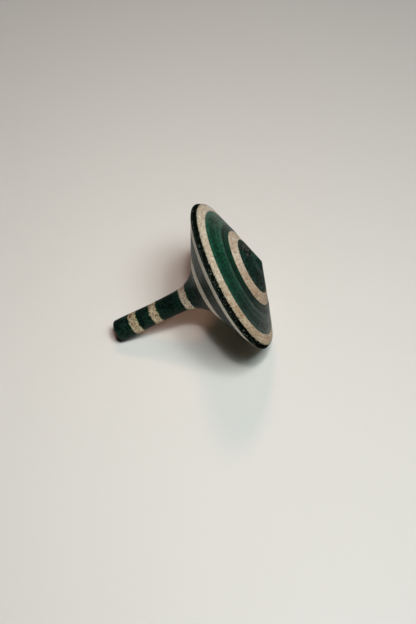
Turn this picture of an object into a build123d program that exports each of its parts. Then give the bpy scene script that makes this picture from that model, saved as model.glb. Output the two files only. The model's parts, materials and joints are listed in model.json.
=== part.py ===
from build123d import *
from math import asin, atan2, cos, degrees, hypot, radians, sin, tan
import os

# A finger spinning top turned from a block of glued wood sheets (plies), dyed green and
# natural in turn. It lies on its side, resting on its rim and on the end of its stem.
# The outline is written as (along, radius): the distance from the tip along the turning
# axis, and the radius there. Every glue line is square to that axis. Lengths are in mm.

# The sheets from the tip to the end of the stem, each with its thickness
PLIES = [
    ("tip_ply", 2.72),
    ("cone_inner_natural_ply", 1.07),
    ("cone_dark_ply", 0.78),
    ("cone_green_ply", 1.85),
    ("cone_outer_natural_ply", 0.95),
    ("rim_ply", 1.45),
    ("underside_natural_ply", 1.35),
    ("underside_green_ply", 3.6),
    ("shoulder_natural_ply", 1.8),
    ("flare_green_ply", 4.8),
    ("flare_natural_ply", 2.1),
    ("stem_lower_green_ply", 7.0),
    ("stem_lower_natural_ply", 2.1),
    ("stem_middle_green_ply", 3.7),
    ("stem_upper_natural_ply", 2.2),
    ("stem_end_green_ply", 4.6),
]
cone_height = sum(size for name, size in PLIES[:5])
stem_end_start = sum(size for name, size in PLIES[:15])
top_length = sum(size for name, size in PLIES)

# Cone face: nearly straight from the tip to the corner of the rim band, and a little full.
# The tip is a small ball that the top spins on.
tip_round_radius = 0.8
cone_radius = 19.45
cone_fullness = 0.05

# Rim: a short band that rises to the widest circle, with a rounded crest in the rim ply
rim_radius = 20.0
rim_round_radius = 0.5
rim_round_along = cone_height + 1.2
rim_band_slope = 27.0
underside_slope = 60.3

# Stem: the underside runs into it by a wide flare. It has a slight waist, then a short
# straight grip with a rounded end.
flare_radius = 8.8
flare_corner_radius = 3.2
waist_along = 30.0
waist_radius = 2.69
grip_radius = 2.85
end_round_radius = 0.6


def on_rim_round(angle):
    """Point of the rim's rounded crest, by its angle in degrees from the widest circle."""
    return (
        rim_round_along + rim_round_radius * sin(radians(angle)),
        rim_radius - rim_round_radius + rim_round_radius * cos(radians(angle)),
    )


# Points of the outline that follow from the dimensions above
cone_slope = atan2(cone_radius, cone_height)
tip = (0, 0)
tip_round_middle = (
    tip_round_radius * (1 - sin((radians(90) + cone_slope) / 2)),
    tip_round_radius * cos((radians(90) + cone_slope) / 2),
)
tip_round_end = (tip_round_radius * (1 - sin(cone_slope)), tip_round_radius * cos(cone_slope))
cone_corner = (cone_height, cone_radius)
crest_start = on_rim_round(-rim_band_slope)
crest_top = on_rim_round(0)
crest_end = on_rim_round(underside_slope)
flare_drop = crest_end[1] - flare_corner_radius
flare_corner = (crest_end[0] + flare_drop / tan(radians(underside_slope)), flare_corner_radius)
waist = (waist_along, waist_radius)
grip_start = (stem_end_start, grip_radius)
grip_corner = (top_length, grip_radius)
end_centre = (top_length, 0)

# The top lies on two rounds, the rim's crest and the stem's end. The surface under it is
# their common tangent, so the turning axis dips by this angle towards the stem.
round_gap = top_length - end_round_radius - rim_round_along
round_drop = (rim_radius - rim_round_radius) - (grip_radius - end_round_radius)
round_distance = hypot(round_gap, round_drop)
lying_tilt = atan2(round_drop, round_gap)
lying_tilt += asin((rim_round_radius - end_round_radius) / round_distance)

# Place of the tip: the crest touches z = 0, and the outer box is centred on the z axis.
# The box ends in x at the lower point of the cone's corner and at the end of the stem.
tip_height = (
    rim_round_radius
    + rim_round_along * sin(lying_tilt)
    + (rim_radius - rim_round_radius) * cos(lying_tilt)
)
reach_forward = cone_radius * sin(lying_tilt) - cone_height * cos(lying_tilt)
reach_back = (
    end_round_radius
    + (top_length - end_round_radius) * cos(lying_tilt)
    + (grip_radius - end_round_radius) * sin(lying_tilt)
)
tip_forward = (reach_back - reach_forward) / 2

# Plane that holds the half outline: its x runs along the turning axis, its y outwards
turning_plane = Plane(
    origin=(tip_forward, 0, tip_height),
    x_dir=(-cos(lying_tilt), 0, -sin(lying_tilt)),
    z_dir=(0, 1, 0),
)
turning_axis = Axis(turning_plane.origin, turning_plane.x_dir)

os.makedirs("parts", exist_ok=True)

# Half outline of the whole top
with BuildSketch() as half_outline:
    with BuildLine():
        ThreePointArc(tip, tip_round_middle, tip_round_end)
        SagittaArc(tip_round_end, cone_corner, cone_fullness)
        Line(cone_corner, crest_start)
        ThreePointArc(crest_start, crest_top, crest_end)
        Line(crest_end, flare_corner)
        ThreePointArc(flare_corner, waist, grip_start)
        Line(grip_start, grip_corner)
        Line(grip_corner, end_centre)
        Line(end_centre, tip)
    make_face()
    fillet(half_outline.vertices().sort_by_distance(flare_corner)[0], flare_radius)
    fillet(half_outline.vertices().sort_by_distance(grip_corner)[0], end_round_radius)


def ply_from_outline(start, size):
    """One sheet of the block: the slice of the outline over its thickness, turned."""
    with BuildPart() as ply:
        with BuildSketch(turning_plane):
            add(half_outline.sketch)
            with Locations((start, 0)):
                Rectangle(size, 2 * rim_radius, align=(Align.MIN, Align.CENTER), mode=Mode.INTERSECT)
        revolve(axis=turning_axis)
    return ply


glue_line = 0
for name, size in PLIES:
    ply = ply_from_outline(glue_line, size)
    ply.part.label = name
    export_step(ply.part, f"parts/{name}.step")
    glue_line += size

print(f"length {top_length:.2f}, widest {2 * rim_radius:.2f}, axis dips {degrees(lying_tilt):.2f} degrees")
print(f"tip at x {tip_forward:.3f}, z {tip_height:.3f}")
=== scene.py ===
import json
import math
from collections import namedtuple

import bpy
import numpy as np
from mathutils import Matrix, Quaternion, Vector


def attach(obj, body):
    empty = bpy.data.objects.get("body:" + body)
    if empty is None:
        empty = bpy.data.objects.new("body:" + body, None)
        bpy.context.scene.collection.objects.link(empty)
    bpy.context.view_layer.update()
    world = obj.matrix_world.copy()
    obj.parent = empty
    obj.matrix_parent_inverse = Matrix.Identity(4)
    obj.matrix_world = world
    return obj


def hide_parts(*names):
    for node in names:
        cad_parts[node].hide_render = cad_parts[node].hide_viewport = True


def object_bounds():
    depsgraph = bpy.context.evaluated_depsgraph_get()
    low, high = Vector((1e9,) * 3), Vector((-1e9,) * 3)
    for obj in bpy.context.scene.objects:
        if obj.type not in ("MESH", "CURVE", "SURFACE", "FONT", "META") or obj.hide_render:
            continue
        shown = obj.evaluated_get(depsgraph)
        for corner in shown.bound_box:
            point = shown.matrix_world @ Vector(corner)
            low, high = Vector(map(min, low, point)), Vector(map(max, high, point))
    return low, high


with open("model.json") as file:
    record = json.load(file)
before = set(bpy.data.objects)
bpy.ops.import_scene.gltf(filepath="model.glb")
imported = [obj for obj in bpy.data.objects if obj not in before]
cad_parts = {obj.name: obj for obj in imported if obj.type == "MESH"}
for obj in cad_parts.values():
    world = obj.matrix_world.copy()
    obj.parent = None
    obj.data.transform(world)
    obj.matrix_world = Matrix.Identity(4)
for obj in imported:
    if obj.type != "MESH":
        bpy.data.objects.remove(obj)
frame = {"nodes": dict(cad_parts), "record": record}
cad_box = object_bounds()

# A finger spinning top, turned from a block of glued wood sheets (plies) and lying on its side.
# Each CAD ply is replaced by a finely turned one with the same outline. Outlines are in
# millimetres, as (along, radius): the distance from the tip along the turning axis, and the
# radius there. Materials work in the same turned millimetres. Everything else is in metres.

MM = 0.001

# ---------------------------------------------------------------- the frame's facts

record = frame["record"]
tip_mount = next(mount for mount in record["mounts"] if mount["name"] == "spin_tip")
tip = Vector(tip_mount["pos_m"])
stem_way = -Vector(tip_mount["axis"]).normalized()
side_way = Vector((0, 1, 0))
across_way = side_way.cross(stem_way)
turned_frame = Matrix((across_way, side_way, stem_way)).transposed()
box_low, box_high = cad_box
box_middle = (box_low + box_high) / 2

# A ply: its CAD node's name, its material slot and its outline
Ply = namedtuple("Ply", "name slot outline")


def node_outline(node):
    """A CAD ply's outline, in mm: the widest radius at each station along the axis."""
    points = np.array([v.co for v in frame["nodes"][node].data.vertices]) - np.array(tip)
    along = points @ np.array(stem_way)
    radius = np.linalg.norm(points - np.outer(along, np.array(stem_way)), axis=1)
    widest = {}
    for station, r in zip(np.round(along / MM, 3), radius / MM):
        widest[station] = max(widest.get(station, 0.0), r)
    return np.array(sorted(widest.items()))


# The plies in order from the tip to the end of the stem
plies = [
    Ply(part["node"], part["material_slot"], node_outline(part["node"]))
    for part in record["subparts"]
]
tip_ply = plies[0]
dark_ply = plies[2]
green_ply = plies[3]
outer_ply = plies[4]
end_ply = plies[-1]
top_length = end_ply.outline[-1, 0]
top_radius = max(ply.outline[:, 1].max() for ply in plies)

# ---------------------------------------------------------------- the turned outline

ring_step = 0.15
ring_turn = math.radians(6)
corner_turn = math.radians(33)
same_point = 0.03


def joined_outline():
    """The whole top's outline from tip to stem end, through every glue line."""
    glue_lines = [ply.outline[0] for ply in plies] + [end_ply.outline[-1]]
    kept = [glue_lines[0]]
    for ply, glue_line in zip(plies, glue_lines[1:]):
        for point in ply.outline[1:-1]:
            clear_of_last = np.linalg.norm(point - kept[-1]) > same_point
            clear_of_glue = np.linalg.norm(point - glue_line) > same_point
            if clear_of_last and clear_of_glue:
                kept.append(point)
        kept.append(glue_line)
    return np.array(kept)


def between(start, end, start_way, end_way):
    """Points of a smooth curve from start up to, but without, end."""
    length = np.linalg.norm(end - start)
    turn = math.acos(np.clip(start_way @ end_way, -1, 1))
    steps = max(1, math.ceil(length / ring_step), math.ceil(turn / ring_turn))
    t = np.linspace(0, 1, steps, endpoint=False)[:, None]
    return (
        (2 * t**3 - 3 * t**2 + 1) * start
        + (t**3 - 2 * t**2 + t) * length * start_way
        + (3 * t**2 - 2 * t**3) * end
        + (t**3 - t**2) * length * end_way
    )


def smooth_outline(points):
    """A dense smooth line through the points, which keeps the sharp corner of the cone."""
    chords = np.diff(points, axis=0)
    lengths = np.linalg.norm(chords, axis=1)
    ways = chords / lengths[:, None]
    radial = np.array([0.0, 1.0])
    arriving = [radial]
    leaving = [radial]
    for i in range(1, len(points) - 1):
        before, after = ways[i - 1], ways[i]
        if math.acos(np.clip(before @ after, -1, 1)) > corner_turn:
            arriving.append(before)
            leaving.append(after)
            continue
        middle = before * lengths[i - 1] ** 2 + after * lengths[i] ** 2
        middle /= np.linalg.norm(middle)
        arriving.append(middle)
        leaving.append(middle)
    arriving.append(-radial)
    spans = [
        between(points[i], points[i + 1], leaving[i], arriving[i + 1])
        for i in range(len(chords))
    ]
    return np.vstack(spans + [points[-1:]])


outline = smooth_outline(joined_outline())

# ---------------------------------------------------------------- relief left by the turning tool

bead_height = 0.10
bead_width = 0.9
bead_offset = 0.6
second_bead_height = 0.06
second_bead_offset = 2.2
ripple_height = 0.012
ripple_length = 1.7
relief_fade = 2.0
cone_edge = outer_ply.outline[-1]
dark_to_green = green_ply.outline[0]


def bump_at(distance, width):
    """A smooth hill, 1 at distance 0 and 0 from width on."""
    share = np.clip(np.abs(distance) / width, 0, 1)
    return (1 - share**2) ** 2


def relief(along, radius):
    """How far the turned face stands proud of the plain outline, in mm."""
    on_cone = np.where(along < cone_edge[0], 1.0, 0.0)
    past_glue = radius - dark_to_green[1]
    bead = bead_height * bump_at(past_glue - bead_offset, bead_width)
    second_bead = second_bead_height * bump_at(past_glue - second_bead_offset, bead_width)
    ripple = ripple_height * (np.cos(radius * 2 * math.pi / ripple_length) - 1)
    clear_of_rim = np.clip((cone_edge[1] - radius) / relief_fade, 0, 1)
    clear_of_tip = np.clip(radius / relief_fade, 0, 1)
    return on_cone * clear_of_rim * clear_of_tip * (bead + second_bead + ripple)


# ---------------------------------------------------------------- turned pieces

widest_facet = 0.4
rim_facet = 0.2
least_segments = 192


def ring_normals(stations):
    """The outward normal of the outline at each station, as (along, radial) parts."""
    slope = np.gradient(stations, axis=0)
    normals = np.stack([-slope[:, 1], slope[:, 0]], axis=1)
    return normals / np.linalg.norm(normals, axis=1)[:, None]


def ply_stations(ply):
    """The part of the smooth outline that belongs to one ply, with the flat end of the stem."""
    start, end = ply.outline[0, 0], ply.outline[-1, 0]
    inside = (outline[:, 0] > start - same_point / 2) & (outline[:, 0] < end + same_point / 2)
    stations = outline[inside]
    normals = ring_normals(stations)
    stations = stations + normals * relief(stations[:, 0], stations[:, 1])[:, None]
    if ply is end_ply:
        end_rings = np.arange(stations[-1, 1] - 2 * ring_step, 0, -2 * ring_step)
        flat_end = [(end, r) for r in end_rings] + [(end, 0.0)]
        stations = np.vstack([stations, flat_end])
    return stations


def turned_mesh(name, stations, segments):
    """A closed solid turned from its stations. A station on the axis is one point."""
    angles = np.arange(segments) * 2 * math.pi / segments
    around = np.outer(np.cos(angles), across_way) + np.outer(np.sin(angles), side_way)
    points, rings = [], []
    for along, radius in stations:
        on_axis = radius < same_point / 10
        count = 1 if on_axis else segments
        rings.append(range(len(points), len(points) + count))
        middle = np.array(tip) + MM * along * np.array(stem_way)
        points.extend([middle] if on_axis else middle + MM * radius * around)
    faces = []
    for near, far in zip(rings, rings[1:]):
        for j in range(segments):
            k = (j + 1) % segments
            near_side = [near[j % len(near)], near[k % len(near)]]
            far_side = [far[k % len(far)], far[j % len(far)]]
            faces.append(list(dict.fromkeys(near_side + far_side)))
    if len(rings[0]) > 1:
        faces.append(list(reversed(rings[0])))
    if len(rings[-1]) > 1:
        faces.append(list(rings[-1]))
    mesh = bpy.data.meshes.new(name)
    mesh.from_pydata([tuple(p) for p in points], [], faces)
    most_corners = 4  # of a turned face: the flat ends have more, and stay flat
    smooth = [len(face) <= most_corners for face in faces]
    mesh.polygons.foreach_set("use_smooth", smooth)
    mesh.validate()
    mesh.update()
    return mesh


def turned_ply(ply):
    """The shown piece of one ply, which stands for its CAD node."""
    stations = ply_stations(ply)
    facet = rim_facet if ply.slot == "black_green_wood" else widest_facet
    segments = max(least_segments, round(2 * math.pi * stations[:, 1].max() / facet))
    name = "turned_" + ply.name
    piece = bpy.data.objects.new(name, turned_mesh(name, stations, segments))
    bpy.context.scene.collection.objects.link(piece)
    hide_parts(ply.name)
    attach(piece, "root")
    return piece


pieces = [turned_ply(ply) for ply in plies]

# ---------------------------------------------------------------- node helpers


class Graph:
    """Adds nodes to one node tree. A value is a socket, a number or a tuple."""

    def __init__(self, tree):
        self.tree = tree

    def add(self, kind, **settings):
        node = self.tree.nodes.new(kind)
        for key, value in settings.items():
            setattr(node, key, value)
        return node

    def feed(self, socket, value):
        if isinstance(value, bpy.types.NodeSocket):
            self.tree.links.new(value, socket)
        elif isinstance(value, (tuple, list)) and socket.type == "RGBA" and len(value) == 3:
            socket.default_value = (*value, 1.0)
        else:
            socket.default_value = value

    def math(self, operation, first, second=0.0, third=0.0):
        node = self.add("ShaderNodeMath", operation=operation)
        for socket, given in zip(node.inputs, (first, second, third)):
            self.feed(socket, given)
        return node.outputs[0]

    def remap(self, value, low, high, to_low=0.0, to_high=1.0):
        """Takes low..high smoothly to to_low..to_high, and holds the ends."""
        node = self.add("ShaderNodeMapRange", interpolation_type="SMOOTHSTEP", clamp=True)
        for socket, given in zip(node.inputs, (value, low, high, to_low, to_high)):
            self.feed(socket, given)
        return node.outputs[0]

    def noise(self, vector, scale, detail=2.0, roughness=0.5):
        """Noise with about that many features in a millimetre, from 0 to 1, middle 0.5."""
        node = self.add("ShaderNodeTexNoise")
        self.feed(node.inputs["Vector"], vector)
        node.inputs["Scale"].default_value = scale
        node.inputs["Detail"].default_value = detail
        node.inputs["Roughness"].default_value = roughness
        return node.outputs[0]

    def mix(self, share, first, second, blend="MIX"):
        node = self.add("ShaderNodeMix", data_type="RGBA", blend_type=blend)
        self.feed(node.inputs["Factor"], share)
        self.feed(node.inputs[6], first)
        self.feed(node.inputs[7], second)
        return node.outputs[2]

    def stretched(self, vector, scale, turn=0.0, move=(0.0, 0.0, 0.0)):
        """The vector moved, turned about the turning axis, then scaled."""
        turned = self.add("ShaderNodeMapping", vector_type="POINT")
        self.feed(turned.inputs["Vector"], vector)
        turned.inputs["Location"].default_value = move
        turned.inputs["Rotation"].default_value = (0.0, 0.0, turn)
        scaled = self.add("ShaderNodeMapping", vector_type="POINT")
        self.feed(scaled.inputs["Vector"], turned.outputs[0])
        scaled.inputs["Scale"].default_value = scale
        return scaled.outputs[0]


# The front is where the top faces -Y and a little down, as a way in the turned frame. Nearer
# the axis than front_reach, in mm, the top has less of a front.
# On the front, painted shade darkens the cone and underside, and painted light lightens the stem
# and rim.
front_way = (-0.5, -0.87, 0.0)
front_reach = 2.0


def make_turned_coordinates():
    """Node group with a surface point's place, in mm, in the turned frame.

    Front goes from 0 to 1, and Rings is the same all round at one place along and radius.
    """
    group = bpy.data.node_groups.new("turned_coordinates", "ShaderNodeTree")
    outputs = (
        ("Place", "Vector"), ("Front", "Float"), ("Along", "Float"), ("Radius", "Float"),
        ("Rings", "Vector"),
    )
    for output, kind in outputs:
        group.interface.new_socket(output, in_out="OUTPUT", socket_type="NodeSocket" + kind)
    graph = Graph(group)
    coordinates = graph.add("ShaderNodeTexCoord")
    mapping = graph.add("ShaderNodeMapping", vector_type="TEXTURE")
    graph.feed(mapping.inputs["Vector"], coordinates.outputs["Object"])
    mapping.inputs["Location"].default_value = tip
    mapping.inputs["Rotation"].default_value = turned_frame.to_euler()
    mapping.inputs["Scale"].default_value = (MM, MM, MM)
    parts = graph.add("ShaderNodeSeparateXYZ")
    graph.feed(parts.inputs[0], mapping.outputs[0])
    flat = graph.add("ShaderNodeCombineXYZ")
    graph.feed(flat.inputs[0], parts.outputs[0])
    graph.feed(flat.inputs[1], parts.outputs[1])
    radius = graph.add("ShaderNodeVectorMath", operation="LENGTH")
    graph.feed(radius.inputs[0], flat.outputs[0])
    toward_front = graph.add("ShaderNodeVectorMath", operation="DOT_PRODUCT")
    graph.feed(toward_front.inputs[0], flat.outputs[0])
    toward_front.inputs[1].default_value = front_way
    reach = graph.math("MAXIMUM", radius.outputs["Value"], front_reach)
    front = graph.math("DIVIDE", toward_front.outputs["Value"], reach)
    rings = graph.add("ShaderNodeCombineXYZ")
    graph.feed(rings.inputs[0], parts.outputs[2])
    graph.feed(rings.inputs[1], radius.outputs["Value"])
    result = graph.add("NodeGroupOutput")
    graph.feed(result.inputs["Place"], mapping.outputs[0])
    # Front places the painted light and shade, and the painted sheen of the pale tool rings.
    graph.feed(result.inputs["Front"], graph.remap(front, low=-0.5, high=1.0))
    graph.feed(result.inputs["Along"], parts.outputs[2])
    graph.feed(result.inputs["Radius"], radius.outputs["Value"])
    graph.feed(result.inputs["Rings"], rings.outputs[0])
    return group


turned_coordinates = make_turned_coordinates()

# ---------------------------------------------------------------- wood

# Colours of each kind of wood, linear: light and dark are its grain, pore its open pores, pale
# specks in some woods, fleck the short streaks in its grain, fringe its tint beside a glue line,
# then the pale tone of its worn edges and scuffs, which also paints sheen on the pale tool rings,
# and last the painted light and shade that its colour is multiplied by on the front. pores,
# flecks and scuffs say how strongly those show. A pore opens where the pore noise is above
# pore_level.
Wood = namedtuple(
    "Wood",
    "light dark pore fleck fringe worn front "
    "roughness gloss pores flecks pore_level pore_scale scuffs",
)
CONE_NATURAL = Wood(
    light=(0.70, 0.62, 0.49), dark=(0.51, 0.385, 0.265), pore=(0.31, 0.155, 0.08),
    fleck=(0.56, 0.36, 0.22), fringe=(0.24, 0.26, 0.15), worn=(0.62, 0.50, 0.37),
    front=(0.75, 0.64, 0.56), roughness=0.50, gloss=0.2,
    pores=0.65, flecks=0.45, pore_level=0.57, pore_scale=3.2, scuffs=0.10,
)
OUTER_NATURAL = CONE_NATURAL._replace(light=(0.76, 0.70, 0.55), dark=(0.56, 0.44, 0.30))
# Natural wood on the underside, lighter and greyer than on the cone: painted reflection of the
# pale floor.
UNDERSIDE_NATURAL_PAINTED_LIGHT = Wood(
    light=(0.86, 0.79, 0.67), dark=(0.66, 0.59, 0.48), pore=(0.30, 0.22, 0.16),
    fleck=(0.60, 0.50, 0.40), fringe=(0.45, 0.42, 0.33), worn=(0.70, 0.62, 0.52),
    front=(0.95, 0.95, 0.95), roughness=0.50, gloss=0.3,
    pores=0.40, flecks=0.3, pore_level=0.60, pore_scale=2.6, scuffs=0.10,
)
NECK_NATURAL = Wood(
    light=(0.68, 0.58, 0.44), dark=(0.45, 0.35, 0.24), pore=(0.16, 0.070, 0.028),
    fleck=(0.40, 0.26, 0.15), fringe=(0.30, 0.28, 0.16), worn=(0.62, 0.50, 0.37),
    front=(1.42, 1.50, 1.56), roughness=0.50, gloss=0.2,
    pores=0.75, flecks=0.35, pore_level=0.55, pore_scale=2.9, scuffs=0.10,
)
STEM_NATURAL = Wood(
    light=(0.53, 0.43, 0.28), dark=(0.26, 0.185, 0.105), pore=(0.10, 0.036, 0.012),
    fleck=(0.30, 0.18, 0.09), fringe=(0.20, 0.23, 0.08), worn=(0.58, 0.48, 0.35),
    front=(1.34, 1.34, 1.34), roughness=0.50, gloss=0.2,
    pores=0.90, flecks=0.35, pore_level=0.56, pore_scale=2.0, scuffs=0.10,
)
BRIGHT_GREEN = Wood(
    light=(0.0095, 0.098, 0.048), dark=(0.002, 0.022, 0.012), pore=(0.002, 0.012, 0.007),
    fleck=(0.020, 0.130, 0.075), fringe=(0.006, 0.05, 0.025), worn=(0.07, 0.15, 0.11),
    front=(0.55, 0.36, 0.46), roughness=0.35, gloss=0.10,
    pores=0.60, flecks=0.45, pore_level=0.57, pore_scale=2.4, scuffs=0.20,
)
SHADED_GREEN = Wood(
    light=(0.007, 0.056, 0.028), dark=(0.002, 0.015, 0.008), pore=(0.001, 0.008, 0.005),
    fleck=(0.014, 0.080, 0.044), fringe=(0.004, 0.025, 0.012), worn=(0.08, 0.13, 0.105),
    front=(0.6, 0.42, 0.5), roughness=0.38, gloss=0.07,
    pores=0.50, flecks=0.45, pore_level=0.58, pore_scale=2.4, scuffs=0.25,
)
TIP_GREEN = Wood(
    light=(0.009, 0.044, 0.028), dark=(0.002, 0.010, 0.007), pore=(0.001, 0.004, 0.003),
    fleck=(0.020, 0.075, 0.052), fringe=(0.008, 0.03, 0.015), worn=(0.12, 0.17, 0.145),
    front=(0.7, 0.5, 0.55), roughness=0.52, gloss=0.05,
    pores=0.60, flecks=0.5, pore_level=0.57, pore_scale=1.8, scuffs=0.70,
)
UNDERSIDE_GREEN = Wood(
    light=(0.0076, 0.039, 0.026), dark=(0.0006, 0.003, 0.0025), pore=(0.0005, 0.002, 0.002),
    fleck=(0.016, 0.052, 0.038), fringe=(0.012, 0.06, 0.025), worn=(0.08, 0.12, 0.10),
    front=(0.8, 0.7, 0.7), roughness=0.40, gloss=0.08,
    pores=0.50, flecks=0.45, pore_level=0.58, pore_scale=2.4, scuffs=0.35,
)
STEM_GREEN = Wood(
    light=(0.0056, 0.0185, 0.0125), dark=(0.0002, 0.0006, 0.0005), pore=(0.016, 0.045, 0.036),
    fleck=(0.012, 0.044, 0.031), fringe=(0.012, 0.075, 0.022), worn=(0.05, 0.10, 0.075),
    front=(1.2, 1.3, 1.2), roughness=0.48, gloss=0.06,
    pores=0.45, flecks=0.25, pore_level=0.61, pore_scale=1.6, scuffs=0.12,
)
END_GREEN = STEM_GREEN._replace(light=(0.0082, 0.0268, 0.0181))
RIM_GREEN = Wood(
    light=(0.0018, 0.0030, 0.0020), dark=(0.001, 0.0015, 0.001), pore=(0.21, 0.235, 0.18),
    fleck=(0.006, 0.014, 0.010), fringe=(0.006, 0.02, 0.01), worn=(0.10, 0.13, 0.11),
    front=(1.3, 1.2, 1.2), roughness=0.80, gloss=0.0,
    pores=0.90, flecks=0.2, pore_level=0.664, pore_scale=3.8, scuffs=0.02,
)
stem_radius = 5.0
neck_radius = 3.2


def wood_of(ply):
    """The kind of wood for a ply: each colour looks different on the cone, rim and stem."""
    if ply is tip_ply:
        return TIP_GREEN
    if ply is outer_ply:
        return OUTER_NATURAL
    if ply is end_ply:
        return END_GREEN
    on_stem = ply.outline[0, 1] < stem_radius
    under = ply.outline[0, 0] > cone_edge[0]
    if ply.slot == "natural_wood":
        if on_stem:
            return NECK_NATURAL if ply.outline[0, 1] > neck_radius else STEM_NATURAL
        # The underside's natural wood is lighter and greyer by painted reflection of the floor.
        return UNDERSIDE_NATURAL_PAINTED_LIGHT if under else CONE_NATURAL
    if ply.slot == "bright_green_wood":
        return BRIGHT_GREEN
    if on_stem:
        return STEM_GREEN
    if ply.slot == "dark_green_wood":
        return UNDERSIDE_GREEN if under else SHADED_GREEN
    return RIM_GREEN


# A ply's fibres lie in its plane. Each ply turns them, in degrees, and moves them, in mm, by
# its own amount.
fibre_stretch = (0.10, 1.0, 1.0)
fibre_turn = 28
fibre_turn_change = 17
fibre_turn_pace = 2.4
fibre_move = (3.1, -1.7, 5.3)


def fibre_vector(graph, place, ply_number):
    """Coordinates that run slowly along the ply's fibres."""
    turn = math.radians(fibre_turn + fibre_turn_change * math.sin(fibre_turn_pace * ply_number))
    move = tuple(part * ply_number for part in fibre_move)
    return graph.stretched(place, fibre_stretch, turn, move)


# How much of the grain's light and dark comes from each of its noises
figure_share = 0.20
blotch_share = 0.22
thread_share = 0.38
turning_share = 0.20

# How far above pore_level a pore is fully open
pore_edge = 0.08


def grain_shade(graph, fibres, rings):
    """Figure, blotches, fibres and turning marks: 0 where the wood is dark, 1 where light."""
    long_figure = graph.stretched(fibres, (1.0, 0.35, 0.35))
    short_blotches = graph.stretched(fibres, (5.0, 1.0, 1.0))
    layers = (
        (graph.noise(long_figure, scale=1.0, detail=3.0, roughness=0.55), figure_share),
        (graph.noise(short_blotches, scale=0.9, detail=3.0, roughness=0.65), blotch_share),
        (graph.noise(fibres, scale=1.9, detail=3.0, roughness=0.65), thread_share),
        (graph.noise(rings, scale=1.3, detail=4.0, roughness=0.7), turning_share),
    )
    shade = 0.0
    for layer, share in layers:
        shade = graph.math("MULTIPLY_ADD", layer, share, shade)
    return graph.remap(shade, low=0.43, high=0.57)


def grain_colour(graph, wood, fibres, rings):
    """The wood's own colour, with flecks and pores, and where its pores are."""
    colour = graph.mix(grain_shade(graph, fibres, rings), wood.dark, wood.light)
    short_flecks = graph.stretched(fibres, (6.0, 1.0, 1.0))
    flecks = graph.noise(short_flecks, scale=2.3, detail=2.0, roughness=0.6)
    fleck = graph.remap(flecks, low=0.53, high=0.66, to_high=wood.flecks)
    colour = graph.mix(fleck, colour, wood.fleck)
    short_pores = graph.stretched(fibres, (3.5, 1.0, 1.0))
    pores = graph.noise(short_pores, scale=wood.pore_scale, detail=1.0, roughness=0.4)
    pore = graph.remap(pores, low=wood.pore_level, high=wood.pore_level + pore_edge)
    return graph.mix(graph.math("MULTIPLY", pore, wood.pores), colour, wood.pore), pore


# How raggedly colours meet at a glue line, in mm: how far the line wanders, how softly it
# changes over, and how far the dye bleeds past it.
Border = namedtuple("Border", "reach blur bleed")
CONE_BORDER = Border(reach=0.10, blur=0.010, bleed=0.06)
DYED_BORDER = Border(reach=0.30, blur=0.15, bleed=0.0)
RIM_BORDER = Border(reach=0.95, blur=0.020, bleed=0.12)
UNDERSIDE_BORDER = Border(reach=0.24, blur=0.015, bleed=0.06)
STEM_BORDER = Border(reach=1.40, blur=0.040, bleed=0.22)


def border_of(point, both_dyed):
    """The border along the glue line that comes out of the wood at this point."""
    if both_dyed:
        return DYED_BORDER
    if point[1] < stem_radius:
        return STEM_BORDER
    if abs(point[0] - cone_edge[0]) < same_point:
        return RIM_BORDER
    return CONE_BORDER if point[0] < cone_edge[0] else UNDERSIDE_BORDER


def past_line(graph, along, teeth, line, reach, blur):
    """1 on the stem's side of a glue line and 0 on the tip's, along a ragged line."""
    offset = graph.math("MULTIPLY", graph.math("SUBTRACT", teeth, 0.5), reach)
    distance = graph.math("SUBTRACT", graph.math("SUBTRACT", along, line), offset)
    return graph.remap(distance, -blur, blur)


def add_borders(graph, number, colour, along, place):
    """Lets the next wood's colour, and the dye's fringe, into a ply along its glue lines."""
    ply = plies[number]
    wood = wood_of(ply)
    long_teeth = graph.stretched(place, (1.0, 1.0, 0.25))
    teeth = graph.noise(long_teeth, scale=2.7, detail=3.0, roughness=0.7)
    for step, point in ((-1, ply.outline[0]), (1, ply.outline[-1])):
        if not 0 <= number + step < len(plies):
            continue
        other = wood_of(plies[number + step])
        both_dyed = "natural_wood" not in (ply.slot, plies[number + step].slot)
        border = border_of(point, both_dyed)
        line = float(point[0])
        past = past_line(graph, along, teeth, line, border.reach, border.blur)
        if step < 0:
            past = graph.math("SUBTRACT", 1.0, past)
        if border.bleed:
            fringe_line = line - step * border.bleed
            bleed = past_line(graph, along, teeth, fringe_line, border.reach, border.bleed)
            if step < 0:
                bleed = graph.math("SUBTRACT", 1.0, bleed)
            patches = graph.noise(place, scale=0.8, detail=2.0, roughness=0.5)
            patchy = graph.remap(patches, low=0.35, high=0.65, to_low=0.1, to_high=0.6)
            colour = graph.mix(graph.math("MULTIPLY", bleed, patchy), colour, wood.fringe)
        middle = tuple((a + b) / 2 for a, b in zip(other.light, other.dark))
        colour = graph.mix(past, colour, middle)
    return colour


# A ring that the turning tool left in the dyed cone: the radius of its middle and how far it
# reaches each way, in mm, how strong it is, and which of the wood's colours it has. The pale
# rings are painted sheen, the highlights on the tool's ridges.
Ring = namedtuple("Ring", "centre reach amount tone")
TIP_RINGS = (
    Ring(4.6, 1.2, 0.70, "pore"), Ring(2.8, 0.9, 0.15, "worn"),
)
GREEN_RINGS = (
    Ring(11.05, 0.8, 0.35, "pore"), Ring(11.85, 0.8, 1.00, "pore"), Ring(15.30, 1.4, 0.60, "pore"),
    Ring(12.90, 0.8, 0.58, "worn"), Ring(14.10, 0.4, 0.14, "worn"), Ring(16.20, 0.5, 0.14, "worn"),
)


# How much more the painted sheen of the pale rings shows on the front
glint_power = 2.0
glint_gain = 1.4
least_glint = 0.8


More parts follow.
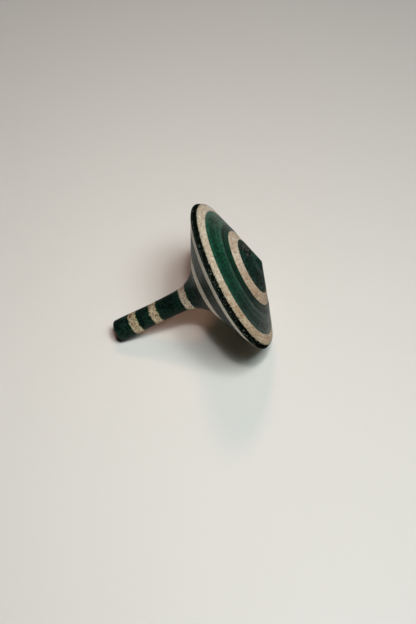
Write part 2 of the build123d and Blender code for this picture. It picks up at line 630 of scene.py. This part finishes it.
def add_tool_rings(graph, colour, place, front, radius, wood, tool_rings):
    """Darker rings and pale rings of painted sheen, broken here and there; the sheen most on the
    front.
    """
    sharp_front = graph.math("POWER", front, glint_power)
    glint = graph.math("MULTIPLY_ADD", sharp_front, glint_gain, least_glint)
    patches = graph.noise(place, scale=0.25, detail=3.0, roughness=0.6)
    unbroken = graph.remap(patches, low=0.35, high=0.65, to_low=0.7)
    broken = graph.remap(patches, low=0.35, high=0.65, to_low=0.3)
    sheen_share = graph.math("MULTIPLY", broken, glint)
    for ring in tool_rings:
        away = graph.math("ABSOLUTE", graph.math("SUBTRACT", radius, ring.centre))
        share = graph.remap(away, low=ring.reach, high=0.0, to_high=ring.amount)
        share = graph.math("MULTIPLY", share, sheen_share if ring.tone == "worn" else unbroken)
        colour = graph.mix(share, colour, getattr(wood, ring.tone))
    return colour


# The rubbed place on the tip: its middle, across the turned frame, and the distances from it,
# in mm, where it starts to fade and where it is gone. Its scratches all lie one way.
rubbed_middle = (4.9, 2.6, 0.0)
rubbed_inside = 1.6
rubbed_outside = 3.4
scratch_stretch = (0.22, 1.1, 1.1)
scratch_turn = math.radians(60)
grey_scratch_move = (3.0, 8.0, 1.0)
black_scratch = (0.001, 0.0015, 0.001)
grey_scratch = (0.22, 0.22, 0.20)


def add_tip_scratches(graph, colour, place):
    """A rubbed place high on the tip, with black and grey scratches."""
    away = graph.add("ShaderNodeVectorMath", operation="DISTANCE")
    graph.feed(away.inputs[0], graph.stretched(place, (1.0, 1.0, 0.0)))
    away.inputs[1].default_value = rubbed_middle
    near = graph.remap(away.outputs["Value"], low=rubbed_outside, high=rubbed_inside)

    strokes = graph.stretched(place, scratch_stretch, scratch_turn)
    black_noise = graph.noise(strokes, scale=1.2, detail=2.0, roughness=0.6)
    black = graph.remap(black_noise, low=0.38, high=0.48, to_high=0.97)
    colour = graph.mix(graph.math("MULTIPLY", near, black), colour, black_scratch)

    other_strokes = graph.stretched(strokes, (1.0, 1.0, 1.0), move=grey_scratch_move)
    grey_noise = graph.noise(other_strokes, scale=1.8, detail=2.0, roughness=0.6)
    grey = graph.remap(grey_noise, low=0.57, high=0.64, to_high=0.50)
    return graph.mix(graph.math("MULTIPLY", near, grey), colour, grey_scratch)


def add_scuffs(graph, colour, place, rings, wood):
    """Pale scuffs where patches of wear meet the turning marks."""
    flat_scuffs = graph.stretched(place, (0.9, 0.9, 3.0))
    scuff_noise = graph.noise(flat_scuffs, scale=1.3, detail=4.0, roughness=0.7)
    mark_noise = graph.noise(rings, scale=3.0, detail=3.0, roughness=0.7)
    scuffed = graph.remap(scuff_noise, low=0.52, high=0.72)
    marked = graph.remap(mark_noise, low=0.4, high=0.65)
    share = graph.math("MULTIPLY", graph.math("MULTIPLY", scuffed, marked), wood.scuffs)
    return graph.mix(share, colour, wood.worn)


edge_wear = 0.45


def add_edge_wear(graph, colour, place, along, radius, wood):
    """Wear on the crest of the rim, the point of the tip and the end of the stem."""
    at_crest = graph.remap(radius, low=top_radius - 0.10, high=top_radius - 0.005)
    near_axis = graph.remap(radius, low=0.9, high=0.2)
    near_point = graph.remap(along, low=1.0, high=0.4)
    at_point = graph.math("MULTIPLY", near_axis, near_point)
    at_end = graph.remap(along, low=top_length - 0.35, high=top_length - 0.1)
    edges = graph.math("MAXIMUM", at_crest, at_point)
    edges = graph.math("MAXIMUM", edges, at_end)
    patches = graph.noise(place, scale=2.2, detail=3.0, roughness=0.6)
    wear = graph.math("MULTIPLY", edges, graph.remap(patches, low=0.45, high=0.65))
    return graph.mix(graph.math("MULTIPLY", wear, edge_wear), colour, wood.worn)


roughness_spread = 0.06
pore_roughness = 0.15


def patchy_roughness(graph, place, pore, wood):
    """The wood's roughness, uneven in patches, and higher in the pores."""
    patches = graph.noise(place, scale=0.5, detail=3.0, roughness=0.6)
    smoothest = wood.roughness - roughness_spread
    roughest = wood.roughness + roughness_spread
    rough = graph.remap(patches, low=0.3, high=0.7, to_low=smoothest, to_high=roughest)
    return graph.math("ADD", rough, graph.math("MULTIPLY", pore, pore_roughness))


bump_depth = 0.018 * MM
bump_strength = 0.8
mark_height = 0.6
thread_height = 0.5
pore_depth = 0.6


def surface_bump(graph, fibres, rings, pore):
    """Fine turning marks and fibres, with sunken pores."""
    marks = graph.noise(rings, scale=4.0, detail=2.0, roughness=0.6)
    threads = graph.noise(fibres, scale=6.0, detail=3.0, roughness=0.65)
    height = graph.math("MULTIPLY", marks, mark_height)
    height = graph.math("ADD", height, graph.math("MULTIPLY", threads, thread_height))
    height = graph.math("SUBTRACT", height, graph.math("MULTIPLY", pore, pore_depth))
    bump = graph.add("ShaderNodeBump")
    bump.inputs["Strength"].default_value = bump_strength
    bump.inputs["Distance"].default_value = bump_depth
    graph.feed(bump.inputs["Height"], height)
    return bump.outputs[0]


def ply_material(number):
    """Laminated wood: the ply's own grain, ragged colour borders, turning marks and wear."""
    ply = plies[number]
    wood = wood_of(ply)
    material = bpy.data.materials.new("wood_" + ply.name)
    material.use_nodes = True
    graph = Graph(material.node_tree)
    shader = material.node_tree.nodes["Principled BSDF"]
    turned = graph.add("ShaderNodeGroup", node_tree=turned_coordinates)
    place, front, along, radius, rings = [turned.outputs[i] for i in range(5)]
    fibres = fibre_vector(graph, place, number)

    colour, pore = grain_colour(graph, wood, fibres, rings)
    # Besides the wood's own marks, the colour gets painted sheen on the pale tool rings and
    # painted light and shade on the front.
    if ply is tip_ply:
        colour = add_tool_rings(graph, colour, place, front, radius, wood, TIP_RINGS)
        colour = add_tip_scratches(graph, colour, place)
    if ply is dark_ply or ply is green_ply:
        colour = add_tool_rings(graph, colour, place, front, radius, wood, GREEN_RINGS)
    # Painted light and shade: the colour is darkened or lightened on the front.
    colour = graph.mix(front, colour, wood.front, "MULTIPLY")
    colour = add_borders(graph, number, colour, along, place)
    colour = add_scuffs(graph, colour, place, rings, wood)
    colour = add_edge_wear(graph, colour, place, along, radius, wood)

    graph.feed(shader.inputs["Base Color"], colour)
    graph.feed(shader.inputs["Roughness"], patchy_roughness(graph, place, pore, wood))
    graph.feed(shader.inputs["Normal"], surface_bump(graph, fibres, rings, pore))
    shader.inputs["IOR"].default_value = 1.5
    shader.inputs["Specular IOR Level"].default_value = wood.gloss
    return material


for number, piece in enumerate(pieces):
    piece.data.materials.append(ply_material(number))

# ---------------------------------------------------------------- floor, lights and camera

floor_size = 4
floor_colour = (0.80, 0.77, 0.70)
floor_roughness = 0.45


def make_floor():
    """A plain pale sheet under the top."""
    bpy.ops.mesh.primitive_plane_add(size=floor_size)
    floor = bpy.context.object
    floor.name = "floor"
    material = bpy.data.materials.new("floor")
    material.use_nodes = True
    shader = material.node_tree.nodes["Principled BSDF"]
    shader.inputs["Base Color"].default_value = (*floor_colour, 1.0)
    shader.inputs["Roughness"].default_value = floor_roughness
    floor.data.materials.append(material)


def direction(azimuth, elevation):
    """Unit vector towards a compass direction: azimuth 0 is +Y and 90 is +X, in degrees."""
    a, e = math.radians(azimuth), math.radians(elevation)
    return Vector((math.sin(a) * math.cos(e), math.cos(a) * math.cos(e), math.sin(e)))


def softbox(name, azimuth, elevation, distance, size, watts, colour, spread=180, aside=0.0):
    """A square soft light that faces the top, or a point aside from it toward -Y.

    Azimuth, elevation and spread are in degrees, and the rest in metres and watts.
    """
    lamp = bpy.data.lights.new(name, "AREA")
    lamp.size = size
    lamp.energy = watts
    lamp.color = colour
    lamp.spread = math.radians(spread)
    way = direction(azimuth, elevation)
    light = bpy.data.objects.new(name, lamp)
    light.location = box_middle + way * distance
    light.rotation_mode = "QUATERNION"
    facing = Vector((0, -aside, 0)) - way * distance
    light.rotation_quaternion = facing.to_track_quat("-Z", "Y")
    bpy.context.scene.collection.objects.link(light)


def make_world(strength, colour):
    """Faint light from all round."""
    world = bpy.data.worlds.new("studio")
    world.use_nodes = True
    background = world.node_tree.nodes["Background"]
    background.inputs["Color"].default_value = (*colour, 1.0)
    background.inputs["Strength"].default_value = strength
    bpy.context.scene.world = world


# Where the camera stands, in degrees and metres from the point it aims at: camera_turn is how
# far it is turned from straight in front, at -Y, toward +X.
camera_turn = -11.15
camera_elevation = 53.8
camera_roll = -0.37
camera_distance = 0.3027
aim_from_middle = Vector((0.0030, -0.00665, -0.00435))
lens_length = 70
sensor_width = 36


def make_camera():
    """A long lens close above the top, a little to its left."""
    camera = bpy.data.cameras.new("camera")
    camera.lens = lens_length
    camera.sensor_width = sensor_width
    camera.clip_start = 0.01
    camera.clip_end = 10
    back = direction(180 - camera_turn, camera_elevation)
    eye = bpy.data.objects.new("camera", camera)
    eye.location = box_middle + aim_from_middle + back * camera_distance
    eye.rotation_mode = "QUATERNION"
    level = (-back).to_track_quat("-Z", "Y")
    eye.rotation_quaternion = level @ Quaternion((0, 0, 1), math.radians(camera_roll))
    bpy.context.scene.collection.objects.link(eye)
    bpy.context.scene.camera = eye


make_floor()
softbox(
    "ceiling_lamp", azimuth=150, elevation=70, distance=0.33, size=0.14, watts=0.131,
    colour=(0.867, 0.974, 1.0), spread=88, aside=0.03,
)
softbox(
    "side_lamp", azimuth=130, elevation=76, distance=0.45, size=0.03, watts=0.190,
    colour=(1.0, 1.0, 1.0),
)
softbox(
    "overhead_lamp", azimuth=180, elevation=74, distance=0.45, size=0.03, watts=0.424,
    colour=(1.0, 0.954, 0.978),
)
softbox(
    "front_fill", azimuth=130, elevation=64, distance=0.45, size=0.16, watts=0.463,
    colour=(0.806, 0.939, 1.0),
)
softbox(
    "warm_lamp", azimuth=5, elevation=51, distance=0.80, size=0.14, watts=0.0427,
    colour=(1.0, 0.56, 0.42), spread=40, aside=0.05,
)
make_world(strength=0.003, colour=(1.0, 0.85, 0.75))
make_camera()
bpy.context.scene.view_settings.view_transform = "Standard"
